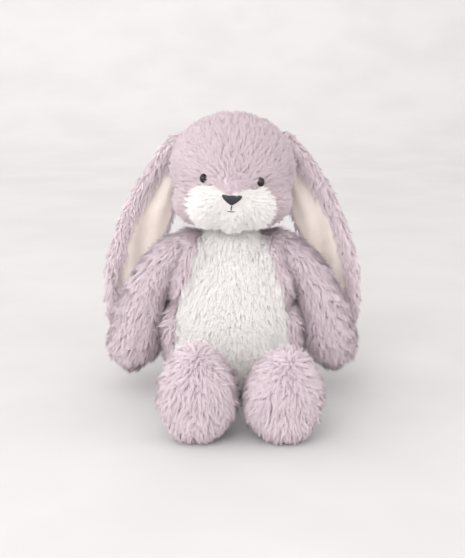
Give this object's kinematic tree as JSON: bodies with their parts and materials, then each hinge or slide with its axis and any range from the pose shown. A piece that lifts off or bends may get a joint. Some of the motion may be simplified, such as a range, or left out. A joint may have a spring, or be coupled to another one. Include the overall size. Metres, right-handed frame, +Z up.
{
  "type": "stuffed bunny",
  "caption": "Seated plush lop-eared bunny, lilac with white muzzle and belly, its limbs, ears and head on soft sewn joints.",
  "frame": {"origin": "middle of the underside of the toy's bounding box, on the surface it sits on", "axes": "+Z up, -Y the way the face looks, +X the bunny's own left side"},
  "size_m": [0.2384, 0.2396, 0.2535],
  "materials": {
    "lilac_plush": "long soft pile",
    "white_plush": "soft pile",
    "ear_velour": "short smooth pile",
    "stuffing": "loose fibre",
    "pouch_cloth": "plain weave",
    "eye_plastic": "polished",
    "washer_plastic": "moulded",
    "nose_thread": "satin stitch",
    "sewing_thread": "twisted thread",
    "label_satin": "satin weave"
  },
  "bodies": {
    "torso": {"torso_left_panel": "lilac_plush", "torso_right_panel": "lilac_plush", "belly_panel": "white_plush", "seat_panel": "lilac_plush", "torso_stuffing": "stuffing", "pellet_pouch": "pouch_cloth", "tail": "white_plush", "care_label": "label_satin"},
    "neck": {"neck_stitching": "sewing_thread"},
    "head": {"head_left_panel": "lilac_plush", "head_right_panel": "lilac_plush", "muzzle_panel": "white_plush", "head_stuffing": "stuffing", "eye_left": "eye_plastic", "eye_right": "eye_plastic", "eye_washer_left": "washer_plastic", "eye_washer_right": "washer_plastic", "nose": "nose_thread", "mouth": "nose_thread"},
    "ear_left": {"ear_left_outer": "lilac_plush", "ear_left_lining": "ear_velour"},
    "ear_right": {"ear_right_outer": "lilac_plush", "ear_right_lining": "ear_velour"},
    "arm_left": {"arm_left_shell": "lilac_plush", "arm_left_stuffing": "stuffing"},
    "arm_right": {"arm_right_shell": "lilac_plush", "arm_right_stuffing": "stuffing"},
    "leg_left": {"leg_left_shell": "lilac_plush", "leg_left_sole": "lilac_plush", "leg_left_stuffing": "stuffing"},
    "leg_right": {"leg_right_shell": "lilac_plush", "leg_right_sole": "lilac_plush", "leg_right_stuffing": "stuffing"}
  },
  "joints": [
    {"name": "neck_tilt", "type": "hinge", "parent": "torso", "child": "neck", "pos_m": [0, 0.042, 0.1473], "axis": [0, 1, 0], "range_deg": [-8, 8], "stiffness_Nm_per_rad": 0.5},
    {"name": "neck_nod", "type": "hinge", "parent": "neck", "child": "head", "pos_m": [0, 0.042, 0.1473], "axis": [1, 0, 0], "range_deg": [0, 12], "stiffness_Nm_per_rad": 0.5},
    {"name": "ear_left_lift", "type": "hinge", "parent": "head", "child": "ear_left", "pos_m": [0.051, 0.052, 0.229], "axis": [0, -1, 0], "range_deg": [0, 100]},
    {"name": "ear_right_lift", "type": "hinge", "parent": "head", "child": "ear_right", "pos_m": [-0.051, 0.052, 0.229], "axis": [0, 1, 0], "range_deg": [0, 100]},
    {"name": "shoulder_left", "type": "hinge", "parent": "torso", "child": "arm_left", "pos_m": [0.038, 0.042, 0.131], "axis": [-1, 0, 0], "range_deg": [0, 100]},
    {"name": "shoulder_right", "type": "hinge", "parent": "torso", "child": "arm_right", "pos_m": [-0.038, 0.042, 0.131], "axis": [-1, 0, 0], "range_deg": [0, 100]},
    {"name": "hip_left", "type": "hinge", "parent": "torso", "child": "leg_left", "pos_m": [0.03, 0.001, 0.031], "axis": [-1, 0, 0], "range_deg": [-40, 40]},
    {"name": "hip_right", "type": "hinge", "parent": "torso", "child": "leg_right", "pos_m": [-0.03, 0.001, 0.031], "axis": [-1, 0, 0], "range_deg": [-40, 40]}
  ]
}
